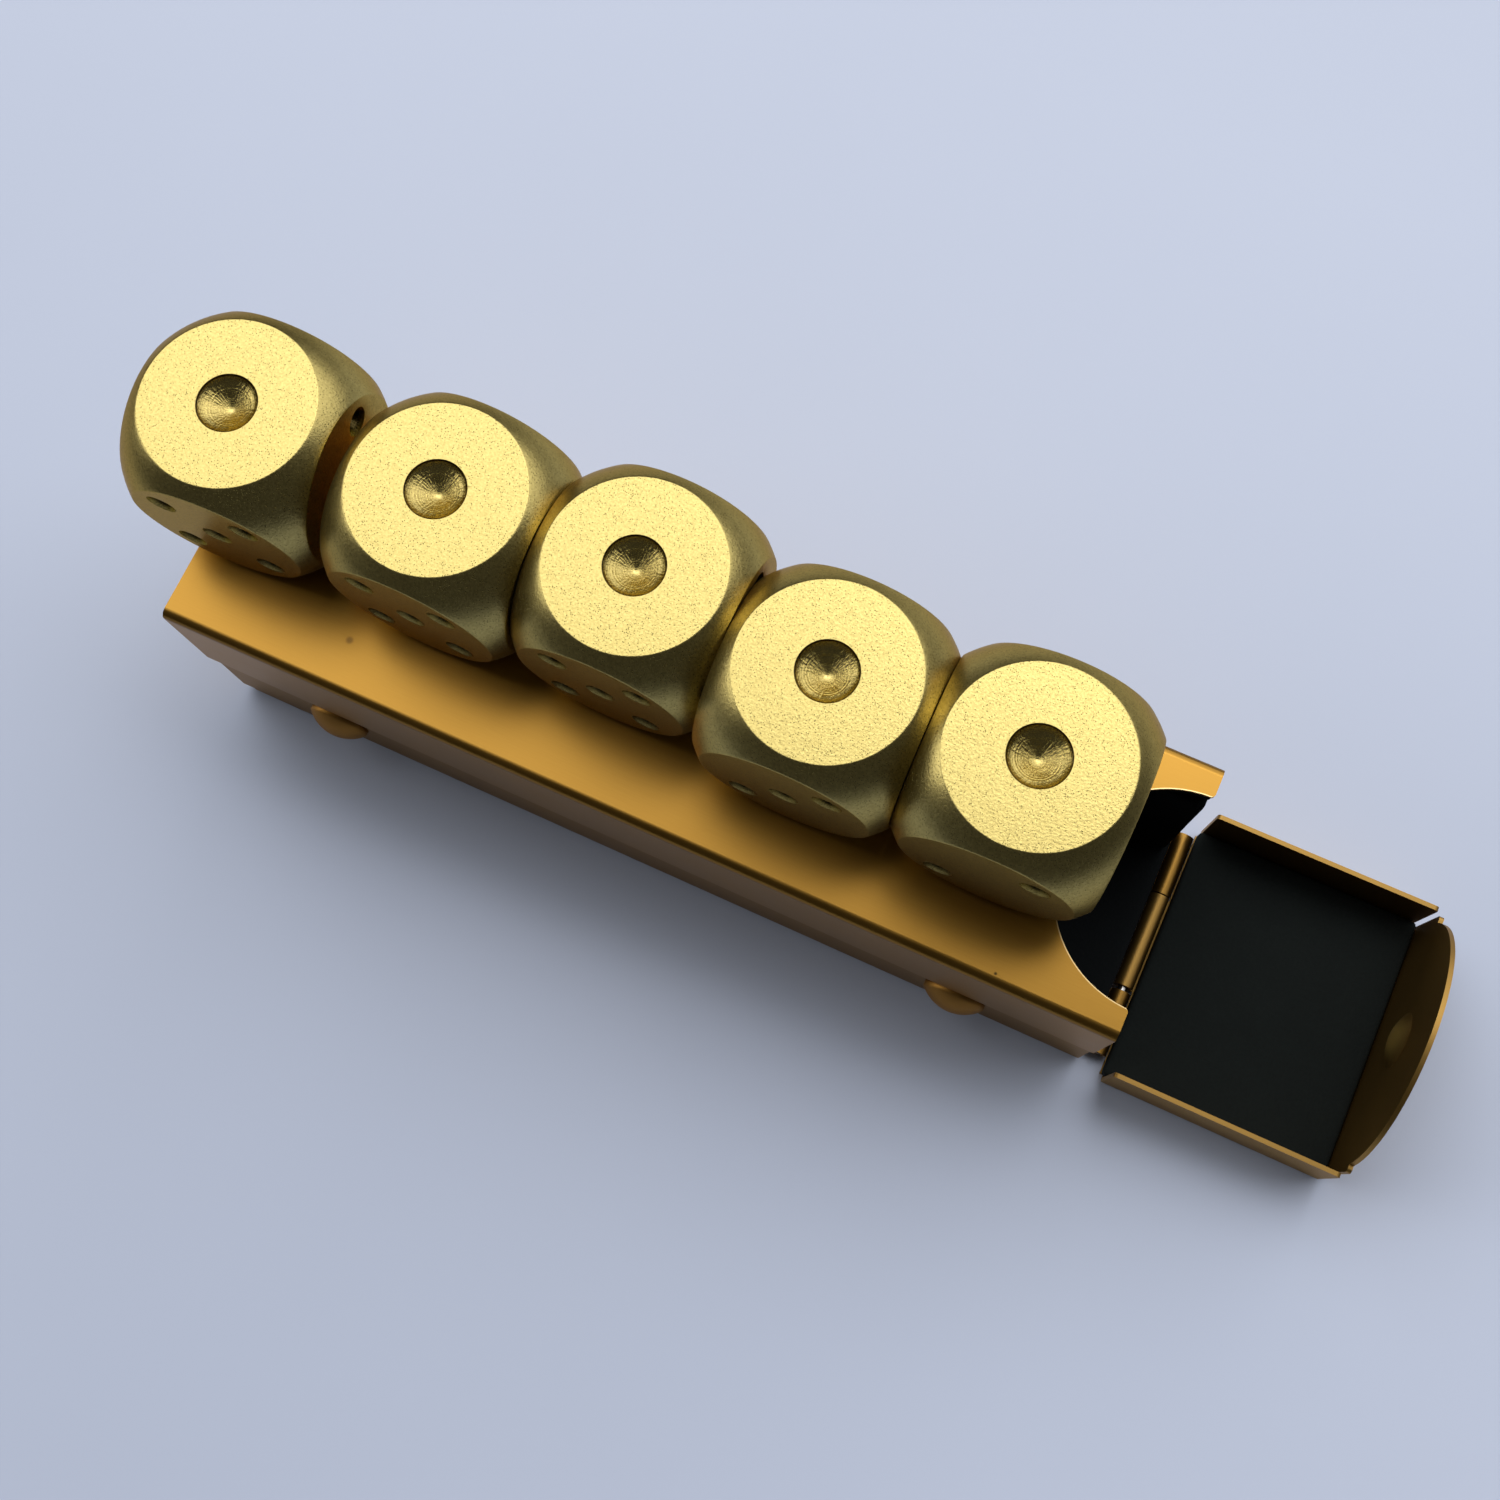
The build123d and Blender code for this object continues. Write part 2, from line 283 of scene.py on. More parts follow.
def make_drill_marks():
    tree, given, end = effect_tree("Drill marks", ("Streaks", "Rings"), ("Tone", "Height"))
    x, y, out = split(tree, given["Vector"])
    around = join(tree, calc(tree, "MULTIPLY", x, given["Streaks"]),
                  calc(tree, "MULTIPLY", y, given["Streaks"]), out)
    streak = noise(tree, around, 1.6, detail=6.0)
    outward = calc(tree, "MULTIPLY", out, given["Rings"])
    rings = add(tree, "ShaderNodeTexNoise", {"W": outward, "Scale": 1.0, "Detail": 2.0},
                noise_dimensions="1D").outputs[0]
    plane = join(tree, calc(tree, "MULTIPLY", x, out), calc(tree, "MULTIPLY", y, out))
    chatter = noise(tree, plane, 7.0, detail=3.0)
    ringed = calc(tree, "MULTIPLY_ADD", rings, ring_share, streak)
    torn = calc(tree, "MULTIPLY_ADD", chatter, chatter_share, ringed)
    marks_left = remap(tree, out, *smooth_tip_mm)
    half_tones = [calc(tree, "MULTIPLY", part, 0.5) for part in (chatter, streak)]
    put_out(tree, end, Tone=calc(tree, "ADD", *half_tones),
            Height=calc(tree, "MULTIPLY", torn, marks_left))
    return tree


drill_marks = make_drill_marks()
print("group", drill_marks.name, "has", len(drill_marks.nodes), "nodes")

# %% [markdown]
# ## Foam cells
# Cell foam is matt and almost black. Close up it is a field of small pits, with slightly paler patches
# where the skin has been pressed.

# %% Foam cell group
cell_share = 0.35
patch_strength = 0.8


def make_foam_cells():
    tree, given, end = effect_tree("Foam cells", ("Cells", "Patches"), ("Tone", "Height"))
    cells = add(tree, "ShaderNodeTexVoronoi",
                {"Vector": given["Vector"], "Scale": given["Cells"]}).outputs["Distance"]
    patches = noise(tree, given["Vector"], given["Patches"], detail=6.0, roughness=0.65)
    pressed = calc(tree, "MULTIPLY", patches, patch_strength)
    put_out(tree, end, Tone=calc(tree, "MULTIPLY_ADD", cells, cell_share, pressed), Height=cells)
    return tree


foam_cells = make_foam_cells()
print("group", foam_cells.name, "has", len(foam_cells.nodes), "nodes")

# %% [markdown]
# ## How every finish starts
# Each material starts the same way: a place, one effect group, and a Principled shader. A finish differs in
# its group, its colours, and the range of roughness that the group's tone moves through. Metal has one more
# colour: seen at a low angle it loses its own and turns white, and the edge tint says how much it keeps.
# A dyed oxide skin keeps some of it.

# %% Shared start of a material
def on_part(tree):
    """Places on the part in metres, which stay with the piece when it moves."""
    return add(tree, "ShaderNodeTexCoord").outputs["Object"]


def in_pip(tree):
    """Places in a pip: two numbers for the way round the drill's axis, and the distance out in mm."""
    return add(tree, "ShaderNodeAttribute", attribute_name="drill").outputs["Vector"]


def new_finish(name, group, settings, place=on_part):
    """An empty material with its effect group placed and fed, as (material, tree, group node, shader)."""
    material = bpy.data.materials.new(name)
    material.use_nodes = True
    tree = material.node_tree
    effect = add(tree, "ShaderNodeGroup", node_tree=group)
    tree.links.new(place(tree), effect.inputs["Vector"])
    for label, value in settings.items():
        effect.inputs[label].default_value = value
    return material, tree, effect, tree.nodes["Principled BSDF"]


def make_metal(shader, edge_tint):
    shader.inputs["Metallic"].default_value = 1.0
    shader.inputs["Specular Tint"].default_value = edge_tint


def roughen(tree, effect, shader, low, high, bump_height, bump_strength):
    """Let the effect's tone drive roughness and its height drive the bump."""
    tree.links.new(remap(tree, effect.outputs["Tone"], 0.0, 1.0, low, high), shader.inputs["Roughness"])
    bump = add(tree, "ShaderNodeBump",
               {"Height": effect.outputs["Height"], "Distance": bump_height, "Strength": bump_strength})
    tree.links.new(bump.outputs[0], shader.inputs["Normal"])


# %% [markdown]
# ## Gold of the dice
# The dice are paler and greener than the case, because blasting scatters the light before the dye colours
# it. The grain moves between a pale and a deep gold, and only the pits are dark. One flat colour with a
# bump would look like plastic, because the real skin sparkles in colour too.

# %% Dice gold
def make_dice_gold():
    material, tree, skin, shader = new_finish(
        "dice_gold_blasted", blasted_skin, {"Grain": 5200.0, "Pits": 6200.0, "Pit Share": 0.6})
    pale = (0.51, 0.411, 0.147, 1.0)
    deep = (0.355, 0.282, 0.095, 1.0)
    pit_colour = (0.12, 0.105, 0.035, 1.0)
    contrast = (0.33, 0.67)
    skin_colour = blend(tree, remap(tree, skin.outputs["Tone"], *contrast), deep, pale)
    colour = blend(tree, skin.outputs["Pit"], skin_colour, pit_colour)
    tree.links.new(colour, shader.inputs["Base Color"])
    make_metal(shader, edge_tint=(0.78, 0.57, 0.40, 1.0))
    roughen(tree, skin, shader, low=0.25, high=0.38, bump_height=0.03 * mm, bump_strength=0.6)
    return material


dice_gold = make_dice_gold()
print("finish", dice_gold.name)

# %% [markdown]
# ## Gold inside the pips
# A drill leaves brighter metal than blasting does. Shade is painted in as a dark colour in the narrow core
# and, in the large pip, along its straight wall, where the hollow lies in shade. Both places are plain
# distances from the drill's axis, so the same function makes the large pip's finish and the small ones'. The
# tone of the marks makes the core's edge ragged.

# %% Pip gold
def make_pip_gold(name, light, dark, core_radius, wall_radius):
    """Drilled gold, with shade painted dark inside the core radius and along the wall, both in mm."""
    material, tree, marks, shader = new_finish(name, drill_marks, {"Streaks": 5.0, "Rings": 9.0}, in_pip)
    pip_shade_colour = (0.045, 0.032, 0.011, 1.0)
    pip_shade_share = 0.85
    core_fade = 1.4
    raggedness = 0.4
    wall_width = 0.08
    drilled = blend(tree, marks.outputs["Tone"], dark, light)
    out = split(tree, in_pip(tree))[2]
    ragged = calc(tree, "MULTIPLY_ADD", marks.outputs["Tone"], raggedness,
                  calc(tree, "SUBTRACT", out, raggedness / 2))
    in_core = remap(tree, ragged, core_radius, core_radius * core_fade, 1.0, 0.0)
    at_wall = remap(tree, out, wall_radius - wall_width, wall_radius)
    # Painted shade: the core and the wall are darkened as the hollow's shade.
    pip_shade = calc(tree, "MULTIPLY", calc(tree, "MAXIMUM", in_core, at_wall), pip_shade_share)
    tree.links.new(blend(tree, pip_shade, drilled, pip_shade_colour), shader.inputs["Base Color"])
    make_metal(shader, edge_tint=(0.60, 0.47, 0.28, 1.0))
    roughen(tree, marks, shader, low=0.13, high=0.28, bump_height=0.09 * mm, bump_strength=0.8)
    return material


ace_gold = make_pip_gold("dice_gold_drilled", (0.68, 0.54, 0.19, 1.0), (0.26, 0.198, 0.058, 1.0),
                         core_radius=0.02, wall_radius=2.36)
# The small pips' two golds are darker than the large pip's, as painted shade in their narrow hollows.
small_pip_shaded_gold = make_pip_gold("dice_gold_small_pips_shaded", (0.33, 0.255, 0.085, 1.0), (0.21, 0.16, 0.05, 1.0),
                         core_radius=0.74, wall_radius=5.0)
print("finishes", ace_gold.name, small_pip_shaded_gold.name)

# %% [markdown]
# ## Masks for marks that belong to a place
# A case has marks that sit at a place: a dent, and painted light: painted shade along a fold, a painted
# highlight along a round cut edge, and a painted highlight on the lid's bump. They could be painted on an
# image, but an image needs a UV map and loses its sharpness. Here each mark is a mask that measures the
# distance from a place on the part, so it stays sharp at any size.

# %% Masks
def spot(tree, centre, radius, full_share=0.3):
    """A soft round mask at a place on the part, full within a share of its radius."""
    away = vector_calc(tree, "DISTANCE", on_part(tree), centre)
    return remap(tree, away, radius, radius * full_share, smooth=True)


def height_band(tree, low, high, fade):
    """A soft mask between two heights on the part."""
    height = split(tree, on_part(tree))[2]
    edges = [remap(tree, height, start, stop, smooth=True)
             for start, stop in ((low - fade, low), (high + fade, high))]
    return calc(tree, "MULTIPLY", *edges)


def round_edge(tree, axis, radius, width, full_share=0.4):
    """A thin mask along a round cut whose axis stands upright."""
    flat = vector_calc(tree, "MULTIPLY", on_part(tree), (1.0, 1.0, 0.0))
    away = vector_calc(tree, "DISTANCE", flat, axis)
    off = calc(tree, "ABSOLUTE", calc(tree, "SUBTRACT", away, radius))
    return remap(tree, off, width, width * full_share)


# %% [markdown]
# ## Gold of the sheet
# The sheet is smoother than the dice and more orange. All sheet parts come off one function, because they are
# one kind of metal, and each has its own two golds and its own gloss. The marks are mixed over the colour one
# after the other: first the dents, then the painted shade along the fold, last the painted highlight along
# the cut.

# %% Sheet gold
speck_brown = (0.10, 0.05, 0.015, 1.0)
# Colours of painted light: shade along a fold, and a highlight along a cut edge.
fold_shade_colour = (0.11, 0.054, 0.014, 1.0)
fold_shade_share = 0.62
edge_highlight_gold = (0.68, 0.50, 0.24, 1.0)


def make_sheet_gold(name, light, dark, rough, marks=(), fold=None, cut=None):
    """Satin sheet between two golds and two values of roughness. A mark is a place, a radius and a colour. A
    fold is a band of heights with painted shade, darker than the rest, and a cut is the axis, radius and
    width of a round edge with a painted highlight."""
    material, tree, sheet, shader = new_finish(
        name, satin_sheet, {"Along": 350.0, "Across": 7000.0, "Speck Share": 0.03})
    sheet_colour = blend(tree, sheet.outputs["Tone"], dark, light)
    colour = blend(tree, sheet.outputs["Speck"], sheet_colour, speck_brown)
    # A mark may be a dent or a painted highlight, such as the one on the lid's bump.
    for centre, radius, mark_colour in marks:
        colour = blend(tree, spot(tree, centre, radius), colour, mark_colour)
    # Painted shade: a brown band along the fold.
    if fold:
        share = calc(tree, "MULTIPLY", height_band(tree, *fold), fold_shade_share)
        colour = blend(tree, share, colour, fold_shade_colour)
    # Painted highlight: a lighter gold along the round cut edge.
    if cut:
        colour = blend(tree, round_edge(tree, *cut), colour, edge_highlight_gold)
    tree.links.new(colour, shader.inputs["Base Color"])
    make_metal(shader, edge_tint=(0.92, 0.82, 0.75, 1.0))
    roughen(tree, sheet, shader, *rough, bump_height=0.003 * mm, bump_strength=0.25)
    return material


# %% [markdown]
# ## Where the case is marked
# The cover has two tiny dents on its top wall, painted shade along each long fold, and a painted highlight
# round its thumb notch. The lid's pressed bump, where it clicks into the notch, carries a painted highlight.
# The places come from the imported pieces' boxes where they can, so they follow the part.

# %% Places of the marks
cover_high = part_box("case_cover")[1]
notch_r = 9.05 * mm
# Painted highlight: a lighter gold line round the notch's cut edge.
notch_highlight = ((cover_high.x, 0.0, 0.0), notch_r, 0.10 * mm)
# Painted shade: a band just under the top wall along each long fold.
fold_shade_band = (cover_high.z - 0.9 * mm, cover_high.z - 0.5 * mm, 0.25 * mm)
dent_brown = (0.18, 0.095, 0.024, 1.0)
dent_dark = (0.05, 0.03, 0.01, 1.0)
# Painted highlight: a paler gold spot on the lid's bump.
bump_highlight_gold = (0.90, 0.62, 0.17, 1.0)
cover_dents = [((-26.7 * mm, -7.2 * mm, cover_high.z), 0.44 * mm, dent_brown),
               ((31.9 * mm, -10.7 * mm, cover_high.z), 0.18 * mm, dent_dark)]
bump_highlight = [((64.9 * mm, 0.0, 8.9 * mm), 2.2 * mm, bump_highlight_gold)]
print("notch radius", round(notch_r / mm, 2), "mm, marks:", len(cover_dents) + len(bump_highlight))

# %% [markdown]
# ## Finishes of the sheet parts
# Cover, lid, tray and rivets were dyed alike, but the bent and handled parts look a little browner and
# duller, so each gets its own values. The hinge's pin is plain drawn steel: the same satin lines over grey.

# %% Sheet finishes
cover_gold = make_sheet_gold("sheet_gold_satin", (0.365, 0.197, 0.037, 1.0), (0.27, 0.143, 0.025, 1.0),
                             (0.25, 0.38), cover_dents, fold=fold_shade_band, cut=notch_highlight)
lid_gold = make_sheet_gold("lid_gold_satin", (0.345, 0.205, 0.056, 1.0), (0.28, 0.166, 0.044, 1.0),
                           (0.38, 0.52), bump_highlight)
tray_gold = make_sheet_gold("tray_gold_satin", (0.29, 0.160, 0.036, 1.0), (0.24, 0.130, 0.027, 1.0),
                            (0.33, 0.45))
rivet_gold = make_sheet_gold("rivet_gold_satin", (0.34, 0.172, 0.038, 1.0), (0.26, 0.130, 0.027, 1.0),
                             (0.45, 0.58))
pin_steel = make_sheet_gold("pin_steel_drawn", (0.72, 0.71, 0.70, 1.0), (0.60, 0.59, 0.58, 1.0),
                            (0.2, 0.32))
print("finishes", cover_gold.name, lid_gold.name, tray_gold.name, rivet_gold.name, pin_steel.name)

# %% [markdown]
# ## Foam
# Foam takes no highlight, so it gets a high roughness and a low specular level. The pad in the lid has been
# handled and is a little greyer than the lining inside the case.

# %% Foam finish
def make_foam(name, light, dark):
    material, tree, cells, shader = new_finish(name, foam_cells, {"Cells": 3200.0, "Patches": 240.0})
    tree.links.new(blend(tree, cells.outputs["Tone"], dark, light), shader.inputs["Base Color"])
    shader.inputs["Specular IOR Level"].default_value = 0.12
    roughen(tree, cells, shader, low=0.8, high=0.98, bump_height=0.05 * mm, bump_strength=0.5)
    return material


lining_foam = make_foam("lining_foam", (0.0045, 0.0060, 0.0068, 1.0), (0.0020, 0.0028, 0.0034, 1.0))
pad_foam = make_foam("lid_pad_foam", (0.0105, 0.0135, 0.0128, 1.0), (0.0045, 0.0062, 0.0060, 1.0))
print("finishes", lining_foam.name, pad_foam.name)

# %% [markdown]
# ## Sheet parts
# Cover, tray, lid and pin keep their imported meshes, which already have their folds and rolled knuckles.
# Only their material slots change.

# %% Dress the sheet parts
sheet_finish = {"case_cover": cover_gold, "case_tray": tray_gold, "lid_shell": lid_gold,
                "hinge_pin": pin_steel}
for node_name, finish in sheet_finish.items():
    mesh = nodes[node_name].data
    mesh.materials.clear()
    mesh.materials.append(finish)
print("dressed", sorted(sheet_finish))

# %% [markdown]
# ## A die
# A die of this kind is a ball cut by six flats. It could be a boolean of two primitives, but the cut edge
# then runs across the ball's facets and shades badly. Here each face is built outwards from its flat: the
# flat's round edge, a small radius, and rings of the ball that spread until they meet the next face.
# Opposite faces add up to seven, and each die is turned to show the right number on its near face.

# %% Sizes of a die
die_low, die_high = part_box("die_2")
half = (die_high.z - die_low.z) / 2
ball_r = 10.6 * mm
edge_r = 0.2 * mm
pip_pitch = 3.5 * mm
small_pip_r = 1.2 * mm
ace_r = 2.35 * mm
drill_slope = math.radians(31)
die_turns = {"die_1": 3.7, "die_2": 0.0, "die_3": 0.0, "die_4": -90.0, "die_5": 180.0}
face_frames = {
    1: (Vector((0, 0, 1)), Vector((1, 0, 0))),
    2: (Vector((0, 1, 0)), Vector((-1, 0, 0))),
    3: (Vector((1, 0, 0)), Vector((0, 1, 0))),
    4: (Vector((-1, 0, 0)), Vector((0, -1, 0))),
    5: (Vector((0, -1, 0)), Vector((1, 0, 0))),
    6: (Vector((0, 0, -1)), Vector((1, 0, 0))),
}
print("half a die is", round(half / mm, 3), "mm")

# %% [markdown]
# ## Rings and bridges
# A die face starts round, at its flat, and ends square, where it meets its four neighbours. Both ends get
# the same number of points, taken from a walk round a square, and a bridge of quads joins one ring to the
# next. The walk gives two neighbours the same points along the line where they meet, so they close.

# %% Rings and bridges
def square_walk(steps):
    """Points round a 2 x 2 square, spread evenly as seen from a ball's middle."""
    side = [math.tan(math.radians(90 * k / steps - 45)) for k in range(steps)]
    return ([(1, t) for t in side] + [(-t, 1) for t in side]
            + [(-1, -t) for t in side] + [(t, -1) for t in side])


def bridge(bm, outer, inner, material_index=0):
    """Quads between two rings of the same length."""
    count = len(outer)
    for i in range(count):
        j = (i + 1) % count
        face = bm.faces.new((outer[i], outer[j], inner[j], inner[i]))
        face.material_index = material_index


def ring_edges(bm, ring):
    return [bm.edges.get((ring[i], ring[i - 1])) for i in range(len(ring))]


side_points = 24
walk = square_walk(side_points)
print("a ring has", len(walk), "points")

# %% [markdown]
# ## Outlines of the pips
# A pip's outline runs from the flat over a tiny rounded rim, down the cone that a drill point leaves, to a
# rounded bottom. The large single pip has a short straight wall first. On the small ones the blasting has
# opened a shallow dish round a narrower hole. Both outlines are worked out from a few sizes, so a deeper
# drill or a wider rim is one number.

# %% Pip outlines
rim_steps = 3
tip_steps = 4
dish_share = 0.8


def pip_outline(radius, rim, wall, tip):
    """(radius, depth) pairs from the flat to the middle."""
    turn = math.pi / 2 if wall else drill_slope
    start = radius + rim * math.tan(turn / 2)
    outline = []
    for k in range(rim_steps + 1):
        angle = turn * k / rim_steps
        outline.append((start - rim * math.sin(angle), rim * (1 - math.cos(angle))))
    if wall:
        outline.append((radius, wall))
    top_r, top_depth = outline[-1]
    tip_r = tip * math.sin(drill_slope)
    tip_depth = top_depth + (top_r - tip_r) * math.tan(drill_slope)
    for share in (0.33, 0.66):
        r = top_r + (tip_r - top_r) * share
        outline.append((r, top_depth + (tip_depth - top_depth) * share))
    for k in range(tip_steps, 0, -1):
        angle = drill_slope * k / tip_steps
        outline.append((tip * math.sin(angle), tip_depth + tip * (math.cos(angle) - math.cos(drill_slope))))
    outline.append((0, tip_depth + tip * (1 - math.cos(drill_slope))))
    return outline


def dished_outline(radius, rim, hole_r, hole_wall):
    """A shallow dish that blasting has opened round a narrower, steeper hole with a nearly flat bottom."""
    outline = pip_outline(radius, rim, wall=0, tip=0.3 * mm)
    dish = [(r, depth) for r, depth in outline if r > hole_r]
    edge_depth = rim + (radius - hole_r) * math.tan(drill_slope) * dish_share
    bottom = edge_depth + hole_wall
    hole = [(hole_r * r, edge_depth + hole_wall * depth) for r, depth in ((1, 0), (0.86, 0.55), (0.6, 1))]
    return dish + hole + [(hole_r * 0.25, bottom + 0.04 * mm), (0, bottom + 0.05 * mm)]


small_outline = dished_outline(small_pip_r, rim=0.07 * mm, hole_r=0.62 * mm, hole_wall=0.45 * mm)
ace_outline = pip_outline(ace_r, rim=0.06 * mm, wall=0.18 * mm, tip=1.9 * mm)
print("large pip is", round(ace_outline[-1][1] / mm, 2), "mm deep, small ones",
      round(small_outline[-1][1] / mm, 2), "mm")

# %% [markdown]
# ## Spinning a pip
# Spinning the outline gives rings, and each ring's points remember their place round the drill for the
# drill marks. That is what the attribute is for: a texture on Object coordinates would run straight
# through the pip.

# %% Pips
def add_pip(bm, drill, centre, normal, across, up, outline, segments, finish_index):
    """Spin an outline into the flat round centre and give back its rim."""
    rings = []
    for radius, depth in outline[:-1]:
        ring = []
        for k in range(segments):
            angle = 2 * math.pi * k / segments
            way = across * math.cos(angle) + up * math.sin(angle)
            vert = bm.verts.new(centre + way * radius - normal * depth)
            vert[drill] = (math.cos(angle), math.sin(angle), radius / mm)
            ring.append(vert)
        rings.append(ring)
    for outer, inner in zip(rings, rings[1:]):
        bridge(bm, outer, inner, material_index=finish_index)
    middle = bm.verts.new(centre - normal * outline[-1][1])
    last = rings[-1]
    for k in range(segments):
        face = bm.faces.new((last[k], last[(k + 1) % segments], middle))
        face.material_index = finish_index
    return rings[0]


def pip_spots(count):
    """Pip places on one face in steps of the pitch, seen from outside."""
    spots = [(0, 0)] if count % 2 else []
    if count > 1:
        spots += [(-1, -1), (1, 1)]
    if count > 3:
        spots += [(-1, 1), (1, -1)]
    if count == 6:
        spots += [(-1, 0), (1, 0)]
    return spots


print("pips on a die:", sum(len(pip_spots(count)) for count in face_frames))

# %% [markdown]
# ## One face of a die
# The rings climb from the flat's edge over the small radius and out along the ball. The flat between its
# round edge and the pips is filled with triangles, which is harmless because it is truly flat.

# %% Die face
edge_steps = 4
ball_steps = 5
ace_segments = 48
small_segments = 28


def add_face(bm, drill, count):
    normal, across = face_frames[count]
    up = normal.cross(across)
    middle_r = math.sqrt((ball_r - edge_r) ** 2 - (half - edge_r) ** 2)
    start_polar = math.atan2(middle_r, half - edge_r)
    profile = []
    for k in range(edge_steps + 1):
        angle = math.pi / 2 - start_polar * k / edge_steps
        profile.append((middle_r + edge_r * math.cos(angle), half - edge_r + edge_r * math.sin(angle)))
    ways = [(across * a + up * b).normalized() for a, b in walk]
    rings = [[bm.verts.new(way * r + normal * z) for way in ways] for r, z in profile]
    for step in range(1, ball_steps + 1):
        ring = []
        for (a, b), way in zip(walk, ways):
            polar = start_polar + (math.atan(math.hypot(a, b)) - start_polar) * step / ball_steps
            ring.append(bm.verts.new(way * ball_r * math.sin(polar) + normal * ball_r * math.cos(polar)))
        rings.append(ring)
    for inner, outer in zip(rings, rings[1:]):
        bridge(bm, outer, inner)
    loops = ring_edges(bm, rings[0])
    for u, v in pip_spots(count):
        centre = normal * half + across * u * pip_pitch + up * v * pip_pitch
        if count == 1:
            rim = add_pip(bm, drill, centre, normal, across, up, ace_outline, ace_segments, 1)
        else:
            rim = add_pip(bm, drill, centre, normal, across, up, small_outline, small_segments, 2)
        loops += ring_edges(bm, rim)
    bmesh.ops.triangle_fill(bm, use_beauty=True, edges=loops)


# %% [markdown]
# ## The whole die
# Six faces make a closed shell. It is merged, its normals are turned outwards, and weighted normals keep
# the flats flat right up to their rounded edges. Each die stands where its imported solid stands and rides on
# that solid's body.

# %% Dice
def make_die(node_name, turn):
    low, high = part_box(node_name)
    bm = bmesh.new()
    drill = bm.verts.layers.float_vector.new("drill")
    for count in face_frames:
        add_face(bm, drill, count)
    bmesh.ops.remove_doubles(bm, verts=bm.verts, dist=0.001 * mm)
    bmesh.ops.recalc_face_normals(bm, faces=bm.faces)
    place = Matrix.Translation((low + high) / 2) @ Matrix.Rotation(math.radians(turn), 4, "Z")
    bm.transform(place)
    mesh = bpy.data.meshes.new(node_name + "_blasted")
    bm.to_mesh(mesh)
    bm.free()
    mesh.shade_smooth()
    for finish in (dice_gold, ace_gold, small_pip_shaded_gold):
        mesh.materials.append(finish)
    die = show(node_name + "_blasted", mesh)
    smooth = die.modifiers.new("flats", "WEIGHTED_NORMAL")
    smooth.keep_sharp = True
    settle(die)
    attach(die, node_name)
    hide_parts(node_name)
    return report(die)


dice = [make_die(node_name, turn) for node_name, turn in die_turns.items()]
print("dice together:", sum(len(die.data.polygons) for die in dice), "faces")

# %% [markdown]
# ## A rivet as a tree
# Four identical rivets sit in the side walls. Their heads were pressed into low domes, each a cap of a ball
# whose radius follows from the head's radius and the dome's height. A Geometry Nodes tree makes one rivet
# and sets it on each point, turned to face away from the case's middle, so all four change together.

# %% Geometry tree for the rivets
def squared(tree, value):
    return calc(tree, "POWER", value, 2.0)


def moved(tree, geometry, way):
    """Geometry shifted by a vector."""
    return add(tree, "GeometryNodeTransform", {"Geometry": geometry, "Translation": way}).outputs[0]


def make_rivet_tree(finish):
    tree, start, end = group_tree(
        "Rivets", "GeometryNodeTree",
        {"Geometry": ("Geometry", None), "Head Radius": ("Float", 2.75 * mm), "Rim": ("Float", 0.45 * mm),
         "Dome": ("Float", 1.25 * mm), "Shank Radius": ("Float", 1.5 * mm), "Wall": ("Float", 0.4 * mm)},
        {"Geometry": "Geometry"})
    head_r, rim, dome = (start.outputs[name] for name in ("Head Radius", "Rim", "Dome"))
    wall = start.outputs["Wall"]
    head = add(tree, "GeometryNodeMeshCylinder",
               {"Vertices": 48, "Side Segments": 2, "Fill Segments": 14, "Radius": head_r, "Depth": rim},
               fill_type="TRIANGLE_FAN")
    x, y = split(tree, add(tree, "GeometryNodeInputPosition").outputs[0])[:2]
    out = calc(tree, "ADD", squared(tree, x), squared(tree, y))
    crown_sum = calc(tree, "ADD", squared(tree, head_r), squared(tree, dome))
    crown_r = calc(tree, "DIVIDE", crown_sum, calc(tree, "MULTIPLY", dome, 2.0))
    crown_z = calc(tree, "SQRT", calc(tree, "SUBTRACT", squared(tree, crown_r), out))
    lift = calc(tree, "SUBTRACT", crown_z, calc(tree, "SUBTRACT", crown_r, dome))
    domed = add(tree, "GeometryNodeSetPosition",
                {"Geometry": head.outputs["Mesh"], "Selection": head.outputs["Top"],
                 "Offset": join(tree, z=lift)})
    raised = moved(tree, domed.outputs[0], join(tree, z=calc(tree, "MULTIPLY", rim, 0.5)))
    shank = add(tree, "GeometryNodeMeshCylinder",
                {"Vertices": 32, "Radius": start.outputs["Shank Radius"], "Depth": wall})
    sunk = moved(tree, shank.outputs["Mesh"], join(tree, z=calc(tree, "MULTIPLY", wall, -0.5)))
    both = add(tree, "GeometryNodeJoinGeometry")
    tree.links.new(raised, both.inputs[0])
    tree.links.new(sunk, both.inputs[0])
    side = calc(tree, "SIGN", y)
    facing = add(tree, "FunctionNodeAlignRotationToVector", {"Vector": join(tree, y=side)}, axis="Z")
    placed = add(tree, "GeometryNodeInstanceOnPoints",
                 {"Points": start.outputs["Geometry"], "Instance": both.outputs[0],
                  "Rotation": facing.outputs[0]})
    real = add(tree, "GeometryNodeRealizeInstances", {"Geometry": placed.outputs[0]})
    smooth = add(tree, "GeometryNodeSetShadeSmooth", {"Geometry": real.outputs[0]})
    painted = add(tree, "GeometryNodeSetMaterial", {"Geometry": smooth.outputs[0], "Material": finish})
    tree.links.new(painted.outputs[0], end.inputs["Geometry"])
    return tree


rivet_tree = make_rivet_tree(rivet_gold)
print("tree", rivet_tree.name, "has", len(rivet_tree.nodes), "nodes")

# %% [markdown]
# ## Placing the rivets
# The four points come from two packed boxes: the rivets' own box gives how far apart they stand, and the
# tray's gives the faces of its side walls. The points are a mesh of their own, which carries the tree.

